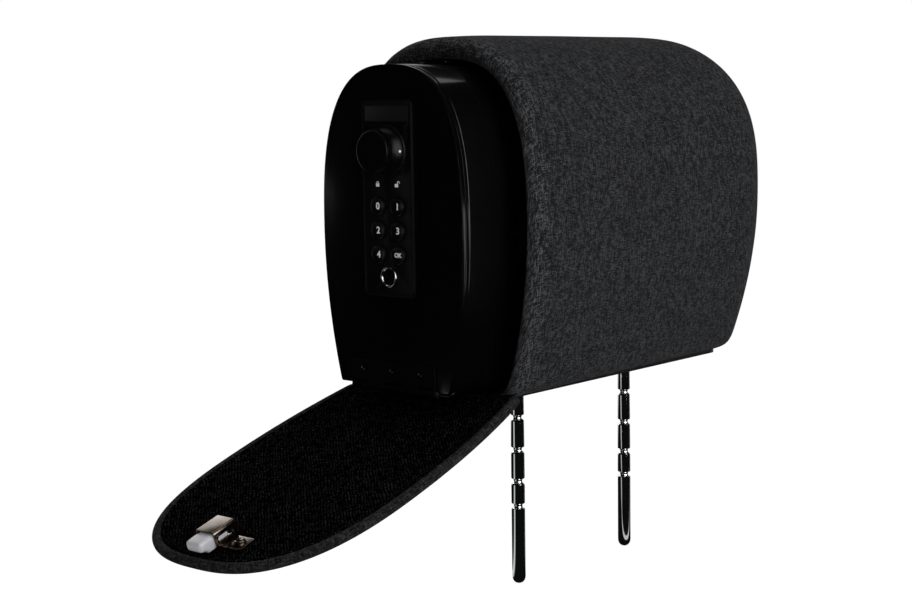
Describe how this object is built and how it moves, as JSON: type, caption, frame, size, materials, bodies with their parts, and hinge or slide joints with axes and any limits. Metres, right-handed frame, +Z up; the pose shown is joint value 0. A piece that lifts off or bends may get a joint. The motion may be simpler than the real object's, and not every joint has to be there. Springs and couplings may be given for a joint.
{
  "type": "portable car safe",
  "caption": "Car headrest with a locking vault that slides out of its end under a fold-down end flap; padded cloth body on two grooved steel posts.",
  "frame": {"origin": "centre of the base tray's flat underside, midway between the two posts", "axes": "+Z up along the posts, -X out of the open end where the vault slides out, +Y towards the headrest's other broad side"},
  "size_m": [0.5527, 0.17, 0.4016],
  "materials": {
    "cloth": "woven charcoal upholstery cloth",
    "lining": "ribbed black knit lining",
    "binding": "rolled cloth edge binding",
    "foam": "moulded seat foam",
    "board": "stiffening board",
    "black_paint": "black satin powder coat",
    "black_plastic": "fine-grained black plastic",
    "gloss_black": "glossy black window",
    "zinc": "zinc-plated steel",
    "black_zinc": "black zinc-plated steel",
    "chrome": "bright chrome plating",
    "nickel": "warm satin nickel plating",
    "nylon": "white nylon",
    "rubber": "black sponge rubber",
    "circuit": "green circuit board",
    "battery_wrap": "plain grey battery jacket"
  },
  "bodies": {
    "headrest": {"fabric_cover": "cloth", "foam_body": "foam", "mouth_roll": "cloth", "sleeve": "black_paint", "floor_glide": "nylon", "outer_rail_front": "black_zinc", "outer_rail_back": "black_zinc", "base_tray": "black_plastic", "channel_near": "zinc", "channel_far": "zinc", "post_near": "chrome", "post_far": "chrome", "post_nut_near": "zinc", "post_nut_far": "zinc", "strike_plate": "black_paint", "flap_hinge_fixed_leaf": "black_paint", "flap_hinge_pin": "zinc"},
    "vault": {"vault_shell": "black_paint", "front_frame": "black_paint", "floor_mat": "lining", "inner_rail_front": "black_zinc", "inner_rail_back": "black_zinc", "door_hinge_fixed_leaf": "black_paint", "door_hinge_pin": "zinc"},
    "door": {"door_plate": "black_paint", "door_hinge_moving_leaf": "black_paint", "door_back_cover": "black_paint", "door_seal": "rubber", "keypad_panel": "black_plastic", "label_window": "gloss_black", "sensor_ring": "chrome", "sensor_pad": "gloss_black", "circuit_board": "circuit", "knob_base_ring": "black_plastic", "lock_case": "zinc", "solenoid": "zinc", "battery_box": "black_plastic", "battery": "battery_wrap", "battery_lid": "black_plastic"},
    "knob": {"knob": "black_plastic", "knob_spindle": "zinc"},
    "bolt_front": {"bolt_front": "zinc"},
    "bolt_back": {"bolt_back": "zinc"},
    "solenoid_plunger": {"solenoid_plunger": "chrome"},
    "key_0": {"key_0": "black_plastic"},
    "key_1": {"key_1": "black_plastic"},
    "key_2": {"key_2": "black_plastic"},
    "key_3": {"key_3": "black_plastic"},
    "key_4": {"key_4": "black_plastic"},
    "key_ok": {"key_ok": "black_plastic"},
    "flap": {"flap_board": "board", "flap_cover": "cloth", "flap_hinge_moving_leaf": "black_paint", "flap_lining": "lining", "flap_binding": "binding", "catch_case": "nickel", "catch_screw_front": "nickel", "catch_screw_back": "nickel"},
    "catch_plunger": {"catch_plunger": "nylon"}
  },
  "joints": [
    {"name": "vault_slide", "type": "slide", "parent": "headrest", "child": "vault", "axis": [1, 0, 0], "range_m": [0, 0.088]},
    {"name": "flap_hinge", "type": "hinge", "parent": "headrest", "child": "flap", "pos_m": [-0.16, 0, 0.006], "axis": [0, 1, 0], "range_deg": [0, 108.01]},
    {"name": "door_hinge", "type": "hinge", "parent": "vault", "child": "door", "pos_m": [-0.1986, 0, 0.0164], "axis": [0, 1, 0], "range_deg": [-95, 0]},
    {"name": "knob_turn", "type": "hinge", "parent": "door", "child": "knob", "pos_m": [-0.2, 0, 0.1765], "axis": [1, 0, 0], "range_deg": [0, 90]},
    {"name": "bolt_front_slide", "type": "slide", "parent": "door", "child": "bolt_front", "axis": [0, -1, 0], "range_m": [0, 0.0095]},
    {"name": "bolt_back_slide", "type": "slide", "parent": "door", "child": "bolt_back", "axis": [0, 1, 0], "range_m": [0, 0.00942]},
    {"name": "solenoid_plunger_lift", "type": "slide", "parent": "door", "child": "solenoid_plunger", "axis": [0, 0, 1], "range_m": [0, 0.003], "stiffness_N_per_m": 50},
    {"name": "key_0_press", "type": "slide", "parent": "door", "child": "key_0", "axis": [1, 0, 0], "range_m": [0, 0.0008], "stiffness_N_per_m": 400},
    {"name": "key_1_press", "type": "slide", "parent": "door", "child": "key_1", "axis": [1, 0, 0], "range_m": [0, 0.0008], "stiffness_N_per_m": 400},
    {"name": "key_2_press", "type": "slide", "parent": "door", "child": "key_2", "axis": [1, 0, 0], "range_m": [0, 0.0008], "stiffness_N_per_m": 400},
    {"name": "key_3_press", "type": "slide", "parent": "door", "child": "key_3", "axis": [1, 0, 0], "range_m": [0, 0.0008], "stiffness_N_per_m": 400},
    {"name": "key_4_press", "type": "slide", "parent": "door", "child": "key_4", "axis": [1, 0, 0], "range_m": [0, 0.0008], "stiffness_N_per_m": 400},
    {"name": "key_ok_press", "type": "slide", "parent": "door", "child": "key_ok", "axis": [1, 0, 0], "range_m": [0, 0.0008], "stiffness_N_per_m": 400},
    {"name": "catch_plunger_slide", "type": "slide", "parent": "flap", "child": "catch_plunger", "axis": [0.9511, 0, 0.309], "range_m": [0, 0.004], "stiffness_N_per_m": 150}
  ],
  "couplings": [
    {"joint": "flap_hinge", "follows": "vault_slide", "rad_per_m": 21.42},
    {"joint": "knob_turn", "follows": "bolt_back_slide", "rad_per_m": 166.67},
    {"joint": "bolt_front_slide", "follows": "bolt_back_slide", "ratio": 1}
  ]
}
